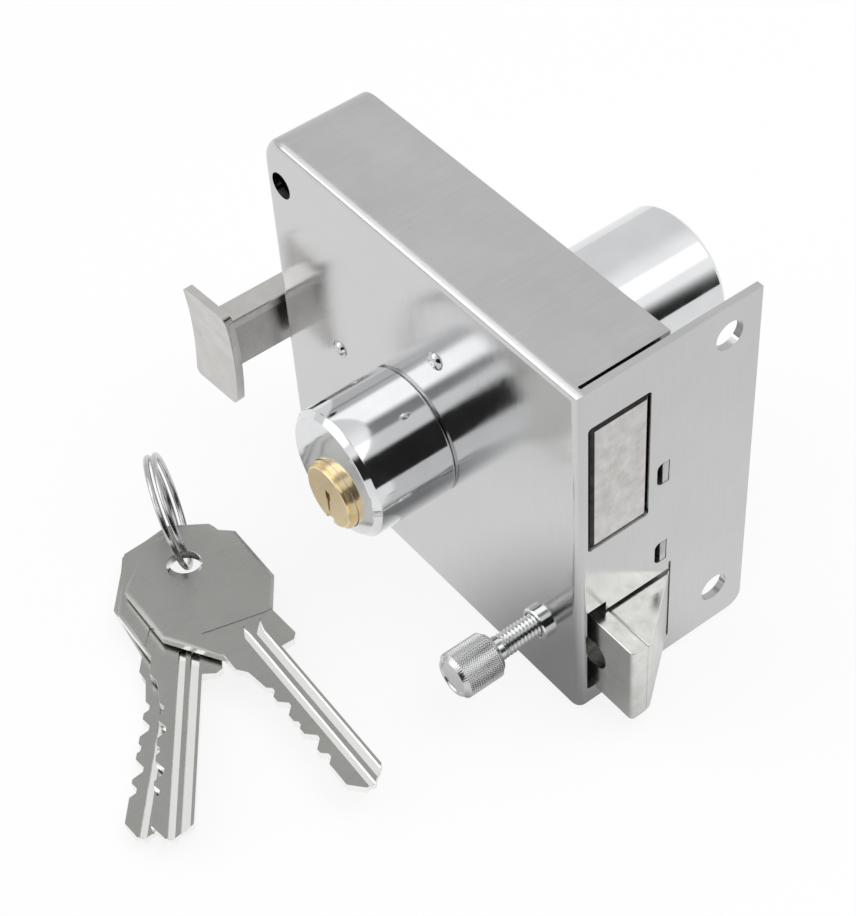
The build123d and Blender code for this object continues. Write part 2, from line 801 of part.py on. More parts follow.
# Latch slide plate: thick at the nose, thinner along the bar that rises to the handle's arm
latch_tip_x = right_x + latch_reach
latch_rear_x = back(latch_body_inset)
rise_right = back(slide_rise_inset - slide_rise_width / 2)
rise_left = back(slide_rise_inset + slide_rise_width / 2)
stem_right = left_x - stem_gap
stem_left = stem_right - stem_width
with BuildPart() as latch_slide:
    block(latch_rear_x, latch_tip_x, deep(latch_front), deep(latch_seam), high(latch_low), high(latch_high))
    latch_front_corner = latch_slide.edges().filter_by(Axis.Z).group_by(Axis.X)[-1].sort_by(Axis.Y)[0]
    fillet(latch_front_corner, latch_tip_radius)
    slide_seam = latch_slide.edges().filter_by(Axis.X).group_by(Axis.Z)[-1].sort_by(Axis.Y)[-1]
    chamfer(slide_seam, latch_seam_edge)
    with BuildSketch(upright(deep(slide_bar_front))) as bar_outline:
        with BuildLine():
            Polyline(
                (latch_rear_x, high(slide_bar_low)),
                (latch_rear_x, high(slide_bar_high)),
                (rise_right, high(slide_bar_high)),
                (rise_right, high(slide_arm_high)),
                (stem_left, high(slide_arm_high)),
                (stem_left, high(slide_arm_low)),
                (rise_left, high(slide_arm_low)),
                (rise_left, high(slide_bar_low)),
                close=True,
            )
        make_face()
        inner_corner = bar_outline.vertices().sort_by_distance((rise_right, high(slide_bar_high)))[0]
        fillet(inner_corner, slide_corner_radius)
        outer_corner = bar_outline.vertices().sort_by_distance((rise_left, high(slide_bar_low)))[0]
        fillet(outer_corner, slide_corner_radius)
    extrude(amount=slide_bar_front - latch_seam)
    rod(
        right_x,
        high(hold_hole_height),
        hold_hole_radius,
        deep(latch_front),
        deep(latch_seam),
        Mode.SUBTRACT,
    )
    for rivet_inset, rivet_height in nose_rivet_places:
        rod(
            back(rivet_inset),
            high(rivet_height),
            nose_rivet_radius,
            deep(latch_front),
            deep(latch_seam),
            Mode.SUBTRACT,
        )
    handle_rivet_x = (stem_left + stem_right) / 2
    arm_middle_z = high((slide_arm_low + slide_arm_high) / 2)
    handle_rivet_heights = (arm_middle_z - handle_rivet_spread / 2, arm_middle_z + handle_rivet_spread / 2)
    for rivet_z in handle_rivet_heights:
        rod(
            handle_rivet_x,
            rivet_z,
            handle_rivet_radius,
            deep(slide_bar_front),
            deep(latch_seam),
            Mode.SUBTRACT,
        )
save(latch_slide, "latch_slide")

# Latch nose: bevelled so that the closing door pushes it in
nose_low_z = high(latch_low + latch_seam_step)
nose_high_z = high(latch_high - latch_seam_step)
with BuildPart() as latch_nose:
    with BuildSketch(Plane.XY.offset(nose_low_z)) as nose_outline:
        with BuildLine():
            Polyline(
                (latch_rear_x, deep(latch_seam)),
                (latch_tip_x, deep(latch_seam)),
                (latch_tip_x, deep(latch_flat)),
                (right_x, deep(latch_heel)),
                (latch_rear_x, deep(latch_heel)),
                close=True,
            )
        make_face()
        tip_corner = nose_outline.vertices().sort_by_distance((latch_tip_x, deep(latch_flat)))[0]
        fillet(tip_corner, latch_bevel_radius)
    extrude(amount=nose_high_z - nose_low_z)
    nose_seam = latch_nose.edges().filter_by(Axis.X).group_by(Axis.Z)[-1].sort_by(Axis.Y)[0]
    chamfer(nose_seam, latch_seam_edge)
    rod(
        right_x,
        high(hold_hole_height),
        hold_hole_radius,
        deep(latch_seam),
        deep(latch_front + hold_hole_depth),
        Mode.SUBTRACT,
    )
    for rivet_inset, rivet_height in nose_rivet_places:
        rod(
            back(rivet_inset),
            high(rivet_height),
            nose_rivet_radius,
            deep(latch_seam),
            deep(latch_heel),
            Mode.SUBTRACT,
        )
    cross_rod(rod_y, rod_z, spring_rod_radius, latch_rear_x, latch_rear_x + spring_rod_seat, Mode.SUBTRACT)
save(latch_nose, "latch_nose")

with BuildPart() as latch_rivets:
    for rivet_inset, rivet_height in nose_rivet_places:
        rod(back(rivet_inset), high(rivet_height), nose_rivet_radius, deep(latch_front), deep(latch_heel))
save(latch_rivets, "latch_rivets")

# Rod behind the nose, through the back plate's tab, with the spring around it
rod_end_x = spring_tab_x - back_sheet - spring_rod_overhang
with BuildPart() as spring_rod:
    cross_rod(rod_y, rod_z, spring_rod_radius, rod_end_x, latch_rear_x + spring_rod_seat)
    chamfer(spring_rod.faces().sort_by(Axis.X)[0].edges(), screw_chamfer)
save(spring_rod, "latch_spring_rod")

spring_length = latch_rear_x - spring_tab_x - 2 * latch_spring_wire
spring_plane = Plane((spring_tab_x + latch_spring_wire, rod_y, rod_z), x_dir=(0, 1, 0), z_dir=(1, 0, 0))
spring_pitch = spring_length / latch_spring_turns
spring_quarters = 4 * latch_spring_turns
with BuildPart() as latch_spring:
    spring_line = coil_path(spring_plane, latch_spring_radius, spring_pitch, spring_quarters)
    with BuildSketch(Plane(spring_line @ 0, z_dir=spring_line % 0)):
        Circle(latch_spring_wire / 2)
    sweep(path=spring_line)
spring_gap = least_gap(spring_line, latch_spring_wire / 2, spring_quarters)
print("latch spring: least gap to itself", spring_gap, "mm")
save(latch_spring, "latch_spring")

# Pull handle: a stem along Y on the arm, undercut below its top lip, and a dished finger pad
pad_front_y = front_y - pad_front
pad_middle_z = high((pad_low + pad_high) / 2)
pad_half = (pad_high - pad_low) / 2
pad_way = Vector(-pad_reach, -pad_lift, 0)
with BuildPart() as pull_handle:
    stem_front_y = pad_front_y + pad_overlap
    block(stem_left, stem_right, stem_front_y, deep(stem_rear), high(stem_low), high(stem_high))
    fillet(pull_handle.edges().filter_by(Axis.Y).group_by(Axis.Z)[-1], stem_corner_radius)
    with BuildSketch(upright(pad_front_y + pad_thickness)):
        with BuildLine():
            Polyline(
                (stem_right + overrun, high(stem_low)),
                (stem_right, high(stem_low)),
                (stem_right - stem_undercut, high(stem_high) - stem_lip),
                (stem_right + overrun, high(stem_high) - stem_lip),
                close=True,
            )
        make_face()
    undercut_end_y = deep(slide_bar_front) - slide_clearance
    extrude(amount=pad_front_y + pad_thickness - undercut_end_y, mode=Mode.SUBTRACT)
    block(
        stem_left,
        stem_right,
        deep(slide_bar_front),
        deep(latch_seam),
        high(slide_arm_low),
        high(slide_arm_high),
        Mode.SUBTRACT,
    )
    for rivet_z in handle_rivet_heights:
        rod(handle_rivet_x, rivet_z, handle_rivet_radius, deep(latch_front), deep(stem_rear), Mode.SUBTRACT)
    with BuildSketch(Plane((stem_right, pad_front_y, pad_middle_z), x_dir=(0, 0, 1), z_dir=pad_way)):
        with BuildLine():
            pad_crown = (0, pad_dish + pad_thickness)
            ThreePointArc((-pad_half, 0), (0, pad_dish), (pad_half, 0))
            Line((pad_half, 0), (pad_half, pad_thickness))
            ThreePointArc((pad_half, pad_thickness), pad_crown, (-pad_half, pad_thickness))
            Line((-pad_half, pad_thickness), (-pad_half, 0))
        make_face()
    extrude(amount=pad_way.length)
    pad_corners = pull_handle.edges().filter_by(
        lambda edge: abs(edge.length - pad_thickness) < pad_thickness * pad_edge_share
    )
    fillet(pad_corners, pad_corner_radius)
save(pull_handle, "pull_handle")

with BuildPart() as handle_rivets:
    for rivet_z in handle_rivet_heights:
        rod(handle_rivet_x, rivet_z, handle_rivet_radius, deep(latch_front), deep(stem_rear))
save(handle_rivets, "handle_rivets")

# Thumb screw: bush through the front, its nut inside, stem with a reduced end, knurled knob
bush_bore = thumb_stem_radius + fit_clearance
with BuildPart() as thumb_bush:
    rod(thumb_x, thumb_z, bush_radius, front_y - bush_length, inner_front_y + bush_nut_length)
    rod(thumb_x, thumb_z, bush_nut_radius, inner_front_y, inner_front_y + bush_nut_length)
    rod(
        thumb_x,
        thumb_z,
        bush_bore,
        front_y - bush_length,
        inner_front_y + bush_nut_length,
        Mode.SUBTRACT,
    )
    chamfer(thumb_bush.faces().sort_by(Axis.Y)[0].edges().sort_by(Edge.length)[-1], screw_chamfer)
save(thumb_bush, "thumb_bush")

dog_y = deep(thumb_tip_depth) - thumb_dog_length
knob_near_y = front_y - knob_near
knob_far_y = front_y - knob_far
with BuildPart() as thumb_stem:
    rod(thumb_x, thumb_z, thumb_stem_radius, knob_near_y, dog_y)
    rod(thumb_x, thumb_z, thumb_dog_radius, dog_y, deep(thumb_tip_depth))
save(thumb_stem, "thumb_stem")

with BuildPart() as thumb_knob:
    rod(thumb_x, thumb_z, knob_radius, knob_far_y, knob_near_y)
    chamfer(thumb_knob.edges().filter_by(GeomType.CIRCLE), knob_chamfer)
save(thumb_knob, "thumb_knob")


def key_outline_points():
    """Outline of a key from the far end of its head to its tip and back along the cut edge."""
    tip_u = key_length - key_tip_slope
    return (
        (-key_head_far, key_flat_half_width),
        (-key_side_start, key_head_half_width),
        (key_side_end, key_head_half_width),
        (key_neck_start, key_neck_high),
        (key_shoulder_length, key_shoulder_high),
        (key_shoulder_length + key_shoulder_edge, key_shoulder_high - key_shoulder_edge),
        (key_shoulder_length + key_shoulder_edge, key_blade_high),
        (tip_u, key_blade_high),
        (key_length, key_tip_high),
        (key_length, -key_tip_high / 2),
        (tip_u, -key_blade_low),
        *key_cut_points(),
        (key_ramp_length, -key_ramp_low),
        (key_shoulder_low_length, -key_neck_low),
        (key_neck_low_start, -key_neck_low),
        (key_side_end, -key_head_half_width),
        (-key_side_start, -key_head_half_width),
        (-key_head_far, -key_flat_half_width),
    )


def key_cut_points():
    """Corners of the cuts along the low edge of the blade, from the tip's side to the head's."""
    corners = []
    for cut, depth in reversed(tuple(enumerate(key_cut_depths))):
        cut_u = key_cut_first + cut * key_cut_pitch
        floor_w = depth - key_blade_low
        corners += [
            (cut_u + key_cut_floor / 2 + depth, -key_blade_low),
            (cut_u + key_cut_floor / 2, floor_w),
            (cut_u - key_cut_floor / 2, floor_w),
            (cut_u - key_cut_floor / 2 - depth, -key_blade_low),
        ]
    return corners


def key_piece(number, hole, heading):
    """One flat key in its own plane: bevelled octagonal head, shouldered neck and a cut, grooved blade."""
    level = bottom_z + key_lift + (len(key_holes) - 1 - number) * (key_thickness + key_gap)
    flat = Plane((back(0) + hole[0], front_y + hole[1], level), z_dir=(0, 0, 1)).rotated((0, 0, heading))
    with BuildPart() as key:
        with BuildSketch(flat):
            with BuildLine():
                Polyline(*key_outline_points(), close=True)
            make_face()
        extrude(amount=key_thickness)
        for face in (key.faces().sort_by(Axis.Z)[0], key.faces().sort_by(Axis.Z)[-1]):
            rim = face.edges().filter_by(lambda edge: flat.to_local_coords(edge @ half).X < key_rim_limit)
            chamfer(rim, key_edge_width, key_edge_depth, reference=face)
        for step_level in (0, key_thickness - key_collar_step):
            with BuildSketch(flat.offset(step_level)):
                with BuildLine():
                    Polyline(
                        *key_collar,
                        (key_length + overrun, key_head_half_width),
                        (key_length + overrun, -key_head_half_width),
                        close=True,
                    )
                make_face()
            extrude(amount=key_collar_step, mode=Mode.SUBTRACT)
        with Locations(flat.offset(key_thickness / 2)):
            Cylinder(key_hole_radius, key_thickness, mode=Mode.SUBTRACT)
        for groove_level, grooves in (
            (key_thickness - key_collar_step - key_groove_depth, key_grooves),
            (key_collar_step, key_back_grooves),
        ):
            with BuildSketch(flat.offset(groove_level)):
                for start_u, start_w, low_w, high_w in grooves:
                    with BuildLine():
                        Polyline(
                            (start_u, start_w),
                            (start_u + key_groove_point, low_w),
                            (key_length + overrun, low_w),
                            (key_length + overrun, high_w),
                            (start_u + key_groove_point, high_w),
                            close=True,
                        )
                    make_face()
            extrude(amount=key_groove_depth, mode=Mode.SUBTRACT)
    save(key, f"key_{number + 1}")


# The split ring stands on the ground, so its lower arc lifts the heads of the keys
ring_tilt = math.radians(ring_lean)
ring_pitch = 2 * ring_wire + ring_turn_gap
ring_half_breadth = ring_pitch * ring_quarters / 8
ring_rise = ring_radius * math.cos(ring_tilt) + ring_half_breadth * math.sin(ring_tilt)
ring_centre_z = bottom_z + ring_floor_gap + ring_wire + ring_rise
ring_low_z = ring_floor_gap + 2 * ring_wire
key_lift = ring_low_z + key_ring_gap
for key_number, key_place in enumerate(zip(key_holes, key_headings)):
    key_piece(key_number, *key_place)

ring_way = math.radians(ring_heading)
ring_plane = Plane(
    (back(0) + ring_reach[0], front_y + ring_reach[1], ring_centre_z),
    x_dir=(math.cos(ring_way), math.sin(ring_way), 0),
    z_dir=(
        math.sin(ring_way) * math.cos(ring_tilt),
        -math.cos(ring_way) * math.cos(ring_tilt),
        -math.sin(ring_tilt),
    ),
).offset(-ring_half_breadth)
with BuildPart() as key_ring:
    ring_line = coil_path(ring_plane, ring_radius, ring_pitch, ring_quarters)
    with BuildSketch(Plane(ring_line @ 0, z_dir=ring_line % 0)):
        Circle(ring_wire)
    sweep(path=ring_line)
print("key ring: least gap to itself", least_gap(ring_line, ring_wire, ring_quarters), "mm")
save(key_ring, "key_ring")
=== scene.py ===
import json
import math

import bmesh
import bpy
import numpy as np
from mathutils import Matrix, Vector

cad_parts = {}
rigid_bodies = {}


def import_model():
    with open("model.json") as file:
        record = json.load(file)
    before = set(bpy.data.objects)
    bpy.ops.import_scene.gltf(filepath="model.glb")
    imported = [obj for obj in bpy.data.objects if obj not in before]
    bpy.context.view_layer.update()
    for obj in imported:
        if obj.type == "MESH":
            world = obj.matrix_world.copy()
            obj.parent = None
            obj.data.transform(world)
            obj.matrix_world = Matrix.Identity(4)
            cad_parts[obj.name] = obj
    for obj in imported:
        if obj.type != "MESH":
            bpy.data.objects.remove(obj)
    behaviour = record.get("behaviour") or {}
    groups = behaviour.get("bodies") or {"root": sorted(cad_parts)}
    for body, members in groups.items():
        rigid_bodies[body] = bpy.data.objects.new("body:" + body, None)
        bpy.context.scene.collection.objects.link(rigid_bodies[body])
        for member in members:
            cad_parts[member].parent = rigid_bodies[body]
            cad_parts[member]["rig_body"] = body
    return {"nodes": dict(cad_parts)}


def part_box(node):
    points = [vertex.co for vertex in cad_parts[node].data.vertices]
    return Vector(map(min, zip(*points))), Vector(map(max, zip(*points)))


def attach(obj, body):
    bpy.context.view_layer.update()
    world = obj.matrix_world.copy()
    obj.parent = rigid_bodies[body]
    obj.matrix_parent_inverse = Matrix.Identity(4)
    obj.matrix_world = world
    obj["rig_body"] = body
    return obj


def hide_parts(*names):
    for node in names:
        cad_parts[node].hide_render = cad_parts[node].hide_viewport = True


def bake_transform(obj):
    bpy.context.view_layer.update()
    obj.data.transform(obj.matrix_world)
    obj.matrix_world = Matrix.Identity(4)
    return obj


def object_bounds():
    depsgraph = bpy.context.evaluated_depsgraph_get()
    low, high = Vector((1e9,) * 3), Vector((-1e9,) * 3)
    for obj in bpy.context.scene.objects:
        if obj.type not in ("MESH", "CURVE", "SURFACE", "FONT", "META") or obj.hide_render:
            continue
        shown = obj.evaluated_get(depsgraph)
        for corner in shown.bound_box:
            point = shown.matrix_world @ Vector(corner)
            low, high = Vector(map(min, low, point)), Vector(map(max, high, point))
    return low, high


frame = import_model()
cad_box = [list(corner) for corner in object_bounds()]

# Metres, in the lock's own frame: +X out of the forend, +Y through the door, +Z up
MM = 0.001
case_low, case_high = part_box("case_shell")
forend_x = case_high.x
front_y = case_low.y
bottom_z = case_low.z
floor_z = cad_box[0][2]

# Camera, measured from the lock's lower front corner at the forend
view_azimuth = math.radians(55.552)
view_elevation = math.radians(47.568)
view_roll = math.radians(-4.414)
corner_in_view = Vector((28.04, -47.33, -419.19)) * MM
sensor_width = 36.0
picture_height = 916
focal_pixels = 2261.98
clip_near = 0.01
clip_far = 20

# Soft patches that shiny pieces see in the room: azimuth, elevation, radius and blur in degrees, and strength
bright_patches = ((-140, 52, 19, 4, 0.95), (-120, 22, 20, 4, 0.95), (43, 52, 11, 5, 0.6))
dark_patches = ((-78, 68, 9, 3, 0.65),)
# Dark belts: direction, the cosines it fades in between, heights of its lower and upper edge, and strength
dark_belts = (
    ((0.91, -0.41, 0), (0.45, 0.58), (-0.08, 0.0), (0.66, 0.74), 0.98),
    ((-0.99, -0.14, 0), (0.85, 0.94), (0.32, 0.38), (0.47, 0.53), 0.85),
    ((-0.5, -0.87, 0), (0.86, 0.95), (-0.01, 0.0), (0.05, 0.08), 0.85),
)
left_sky = 0.75
sky_turns_right = (-0.35, 0.2)

# Floor as it is seen: a painted shadow, darker round a foot before the case's corner, and a little darker to the
# right
floor_reach = 3.0
floor_drop = 0.02 * MM
floor_colour = (0.9, 0.9, 0.9, 1)
painted_shadow_from_corner = (-8 * MM, -5 * MM)
painted_shadow_radius = (5 * MM, 42 * MM)
painted_shadow_tones = (0.25, 0.92)
right_from_corner = (-10 * MM, 60 * MM)
right_tones = (1.0, 0.9)
glow_to_camera = 0.86
glow_to_shine = 0.9

# Soft lamp above
lamp_place = (0.25, 0.1, 0.7)
lamp_size = 0.45
lamp_power = 1.6

# Finish of the nodes' own shapes: points closer than weld are joined, faces within flat_turn are one flat,
# edges past sharp_turn are broken, and on the case edges past fold_turn or beside a whole_flat stay hard
weld = 0.002 * MM
flat_turn = math.radians(0.6)
sharp_turn = math.radians(32)
fold_turn = math.radians(10)
whole_flat = 60 * MM * MM
sheet_edge = 0.12 * MM
cast_edge = 0.3 * MM
small_edge = 0.07 * MM
edge_segments = 2

# Shares of a face's direction above which it counts as a wall, a forend, an inner side or a key's flat
wall_share = 0.75
forend_share = 0.7
half_share = 0.5
key_flat_share = 0.9
key_groove_depth = 0.35 * MM
chamfer_share = 0.7
chamfer_reach = 0.25

# Cells in a metre of the metals' patterns, and how deep they mark the skin
brush_cells = 9000
smudge_cells = 70
wave_cells = 45
brush_depth = 12e-6
haze_cells = 160
fine_cells = 2500
haze_depth = 1.5e-6
haze_share = 0.94
fine_share = 0.12
cloud_cells = 350
grain_cells = 5200


class Finish:
    """A node material in the making. Its patterns read the piece's own Object coordinates."""

    def __init__(self, name, colour, roughness, metallic=1.0):
        self.material = bpy.data.materials.new(name)
        self.material.use_nodes = True
        self.tree = self.material.node_tree
        self.surface = self.tree.nodes["Principled BSDF"]
        self.surface.inputs["Metallic"].default_value = metallic
        self.surface.inputs["Roughness"].default_value = roughness
        self.surface.inputs["Base Color"].default_value = (*colour, 1)
        self.place = self.tree.nodes.new("ShaderNodeTexCoord").outputs["Object"]

    def link(self, output, socket):
        """Joins an output to an input of the surface or of another node."""
        self.tree.links.new(output, self.surface.inputs[socket] if isinstance(socket, str) else socket)

    def noise(self, per_metre, detail=3.0, stretch=(1, 1, 1), lean=0.5):
        """Soft noise with so many cells in a metre, drawn out along an axis where its stretch is small."""
        mapping = self.tree.nodes.new("ShaderNodeMapping")
        mapping.inputs["Scale"].default_value = [per_metre * share for share in stretch]
        self.tree.links.new(self.place, mapping.inputs["Vector"])
        pattern = self.tree.nodes.new("ShaderNodeTexNoise")
        pattern.inputs["Scale"].default_value = 1.0
        pattern.inputs["Detail"].default_value = detail
        pattern.inputs["Roughness"].default_value = lean
        self.tree.links.new(mapping.outputs["Vector"], pattern.inputs["Vector"])
        return pattern.outputs["Fac"]

    def spread(self, value, low, high, start=0.3, end=0.7):
        """A value between start and end, spread over low to high."""
        remap = self.tree.nodes.new("ShaderNodeMapRange")
        for socket, number in zip(("From Min", "From Max", "To Min", "To Max"), (start, end, low, high)):
            remap.inputs[socket].default_value = number
        self.tree.links.new(value, remap.inputs["Value"])
        return remap.outputs["Result"]

    def sum(self, first, second, kind="ADD"):
        """Two values added, or joined as the kind says."""
        joined = self.tree.nodes.new("ShaderNodeMath")
        joined.operation = kind
        for value, socket in zip((first, second), joined.inputs):
            if isinstance(value, float):
                socket.default_value = value
            else:
                self.tree.links.new(value, socket)
        return joined.outputs["Value"]

    def colours(self, value, dark, light):
        """The surface's colour goes from dark to light with the value."""
        mix = self.tree.nodes.new("ShaderNodeMix")
        mix.data_type = "RGBA"
        mix.inputs["A"].default_value = (*dark, 1)
        mix.inputs["B"].default_value = (*light, 1)
        self.tree.links.new(value, mix.inputs["Factor"])
        self.link(mix.outputs["Result"], "Base Color")

    def relief(self, value, depth):
        """The value raises the surface by up to the depth."""
        bump = self.tree.nodes.new("ShaderNodeBump")
        bump.inputs["Strength"].default_value = 1.0
        bump.inputs["Distance"].default_value = depth
        self.tree.links.new(value, bump.inputs["Height"])
        self.link(bump.outputs["Normal"], "Normal")


def tinted(colour, share):
    """The colour, darker or lighter by a share."""
    return tuple(channel * share for channel in colour)


def brushed(name, colour, rough, grain, line_depth, contrast=0.06):
    """Plated sheet with fine brush lines along one axis, faint smudges and a soft waviness."""
    finish = Finish(name, colour, rough[0])
    lines = finish.noise(brush_cells, 2.0, grain)
    smudge = finish.noise(smudge_cells, 4.0, lean=0.6)
    tone = finish.sum(finish.spread(lines, 0.0, 0.5), finish.spread(smudge, 0.0, 0.5))
    finish.colours(tone, tinted(colour, 1 - contrast), tinted(colour, 1 + contrast))
    finish.link(finish.spread(tone, rough[0], rough[1], 0.0, 1.0), "Roughness")
    wave = finish.noise(wave_cells, 1.0)
    skin = finish.sum(finish.spread(lines, 0.0, line_depth), finish.spread(wave, 0.0, 1.0))
    finish.relief(skin, brush_depth)
    return finish.material


def polished(name, colour, rough):
    """Bright plate over a turned body: nearly a mirror, with faint haze and a slightly uneven skin."""
    finish = Finish(name, colour, rough[0])
    haze = finish.noise(haze_cells, 4.0, lean=0.6)
    fine = finish.noise(fine_cells, 3.0)
    finish.link(finish.spread(haze, rough[0], rough[1]), "Roughness")
    finish.colours(finish.spread(haze, 0.0, 1.0), tinted(colour, haze_share), colour)
    finish.relief(finish.sum(finish.spread(haze, 0.0, 1.0), finish.spread(fine, 0.0, fine_share)), haze_depth)
    return finish.material


def mottled(name, dark, light, rough, grain_depth, cells=cloud_cells, metallic=1.0):
    """Pressed or cast metal: cloudy tone, fine grain and uneven gloss."""
    finish = Finish(name, light, rough[0], metallic)
    cloud = finish.noise(cells, 5.0, lean=0.65)
    grain = finish.noise(grain_cells, 3.0)
    finish.colours(finish.spread(cloud, 0.0, 1.0, 0.25, 0.75), dark, light)
    finish.link(finish.spread(cloud, rough[1], rough[0]), "Roughness")
    finish.relief(finish.sum(finish.spread(cloud, 0.0, 1.0), finish.spread(grain, 0.0, 0.5)), grain_depth)
    return finish.material


nickel_tone = (0.64, 0.64, 0.645)
upright_grain = (1, 1, 0.012)
across_grain = (1, 0.012, 1)
finishes = {
    "front_nickel": brushed("front_nickel", nickel_tone, (0.09, 0.14), upright_grain, 0.2, 0.03),
    "wall_nickel": brushed("wall_nickel", (0.6, 0.6, 0.6), (0.28, 0.42), across_grain, 1.0, 0.09),
    "forend_nickel": brushed("forend_nickel", (0.62, 0.62, 0.62), (0.12, 0.2), upright_grain, 0.3, 0.05),
    "inner_nickel": brushed("inner_nickel", (0.5, 0.5, 0.49), (0.35, 0.5), upright_grain, 0.6, 0.06),
    "bright_chrome": polished("bright_chrome", (0.82, 0.83, 0.84), (0.05, 0.1)),
    "satin_chrome": polished("satin_chrome", (0.7, 0.71, 0.7), (0.16, 0.26)),
    "turned_brass": mottled("turned_brass", (0.86, 0.66, 0.36), (1.0, 0.84, 0.56), (0.16, 0.26), 2e-6, 900, 0.8),
    "bolt_steel": mottled("bolt_steel", (0.56, 0.54, 0.52), (0.76, 0.745, 0.73), (0.28, 0.42), 8e-6, 420),
    # Painted shade: near-black steel for the bolt end's chamfers in the gap under the sheet
    "painted_shade_steel": mottled("painted_shade_steel", (0.045, 0.044, 0.042), (0.08, 0.078, 0.075), (0.4, 0.55), 6e-6, 420),
    "latch_nickel": mottled("latch_nickel", (0.7, 0.7, 0.67), (0.88, 0.88, 0.85), (0.16, 0.3), 5e-6, 260),
    "cast_handle": mottled("cast_handle", (0.57, 0.56, 0.54), (0.68, 0.67, 0.65), (0.22, 0.34), 6e-6, 220),
    "zinc_plate": mottled("zinc_plate", (0.44, 0.45, 0.46), (0.58, 0.59, 0.6), (0.25, 0.45), 5e-6, 300),
    "spring_wire": mottled("spring_wire", (0.5, 0.5, 0.5), (0.66, 0.66, 0.66), (0.15, 0.25), 2e-6, 700),
    "key_nickel": brushed("key_nickel", (0.4, 0.4, 0.385), (0.24, 0.36), (1, 0.03, 1), 0.7, 0.08),
    # Painted highlight: a near-white, glossier copy of the key metal for the keys' edges and grooves
    "key_painted_highlight": brushed("key_painted_highlight", (0.97, 0.97, 0.95), (0.12, 0.2), (0.03, 1, 1), 0.3, 0.03),
}

node_finish = {
    "case_shell": "front_nickel",
    "back_plate": "zinc_plate",
    "back_plate_screws": "zinc_plate",
    "bolt_guide_post": "front_nickel",
    "tail_guide_post": "front_nickel",
    "inner_cylinder_body": "bright_chrome",
    "outer_cylinder_body": "bright_chrome",
    "inner_plug": "turned_brass",
    "outer_plug": "turned_brass",
    "inner_key_pins": "turned_brass",
    "outer_key_pins": "turned_brass",
    "inner_driver_pins": "turned_brass",
    "outer_driver_pins": "turned_brass",
    "inner_pin_springs": "spring_wire",
    "outer_pin_springs": "spring_wire",
    "inner_cam": "zinc_plate",
    "outer_cam": "zinc_plate",
    "inner_cylinder_screws": "zinc_plate",
    "outer_cylinder_screws": "zinc_plate",
    "bolt_head": "bolt_steel",
    "bolt_tail": "zinc_plate",
    "bolt_rivets": "zinc_plate",
    "detent_spring": "spring_wire",
    "latch_slide": "latch_nickel",
    "latch_nose": "latch_nickel",
    "latch_rivets": "latch_nickel",
    "latch_spring_rod": "zinc_plate",
    "latch_spring": "spring_wire",
    "pull_handle": "cast_handle",
    "handle_rivets": "zinc_plate",
    "thumb_bush": "bright_chrome",
    "thumb_stem": "satin_chrome",
    "thumb_knob": "satin_chrome",
    "key_1": "key_nickel",
    "key_2": "key_nickel",
    "key_3": "key_nickel",
    "key_ring": "spring_wire",
}

for node, name in node_finish.items():
    slots = frame["nodes"][node].data.materials
    slots.clear()
    slots.append(finishes[name])


def stand_for(piece, node):
    """The piece moves with the node's body and is shown in its place."""
    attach(piece, frame["nodes"][node]["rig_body"])
    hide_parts(node)


def joined(node):
    """A copy of the node's mesh, still in the making, whose corner points are joined."""
    shape = bmesh.new()
    shape.from_mesh(frame["nodes"][node].data)
    bmesh.ops.remove_doubles(shape, verts=shape.verts, dist=weld)
    return shape


def shown(name, mesh):
    """An object in the scene that shows the mesh."""
    piece = bpy.data.objects.new(name, mesh)
    bpy.context.scene.collection.objects.link(piece)
    return piece


def finished(node, edge, cut=False):
    """The node's own shape with its corner points joined, its flats made whole and its edges broken by a bevel.

    Flats with pockets are cut in triangles first. With no edge to break, the flats end at hard lines.
    """
    shape = joined(node)
    bmesh.ops.dissolve_limit(shape, angle_limit=flat_turn, verts=shape.verts, edges=shape.edges)
    if cut:
        large = [face for face in shape.faces if len(face.verts) > 4]
        bmesh.ops.triangulate(shape, faces=large, ngon_method="BEAUTY")
    turn = sharp_turn if edge > 0 else fold_turn
    for line in shape.edges:
        beside_flat = edge == 0 and max(face.calc_area() for face in line.link_faces) > whole_flat
        line.smooth = line.calc_face_angle(0.0) < turn and not beside_flat
    mesh = bpy.data.meshes.new(f"{node}_finish")
    shape.to_mesh(mesh)
    shape.free()
    mesh.shade_smooth()
    piece = shown(f"{node}_finish", mesh)
    if edge > 0:
        broken = piece.modifiers.new("broken_edges", "BEVEL")
        broken.width = edge
        broken.segments = edge_segments
        broken.limit_method = "ANGLE"
        broken.angle_limit = sharp_turn
        broken.use_clamp_overlap = cut
        flats = piece.modifiers.new("flats_first", "WEIGHTED_NORMAL")
        flats.keep_sharp = True
    mesh.materials.append(finishes[node_finish[node]])
    stand_for(piece, node)
    return piece


def face_rows(mesh, kind):
    """Direction (normal) or middle (center) of every face, one row each."""
    rows = np.empty(len(mesh.polygons) * 3)
    mesh.polygons.foreach_get(kind, rows)
    return rows.reshape(-1, 3)


def case_finish():
    """The folded case: brushed upright on its front and forend, across its top and bottom, dull inside."""
    case = finished("case_shell", 0.0)
    mesh = case.data
    for name in ("wall_nickel", "forend_nickel", "inner_nickel"):
        mesh.materials.append(finishes[name])
    facing, centres = face_rows(mesh, "normal"), face_rows(mesh, "center")
    slots = np.zeros(len(mesh.polygons), dtype=np.int32)
    slots[np.abs(facing[:, 2]) > wall_share] = 1
    slots[facing[:, 0] > forend_share] = 2
    slots[facing[:, 1] > half_share] = 3
    slots[(facing[:, 0] < -half_share) & (centres[:, 0] > 0)] = 3
    mesh.polygons.foreach_set("material_index", slots)


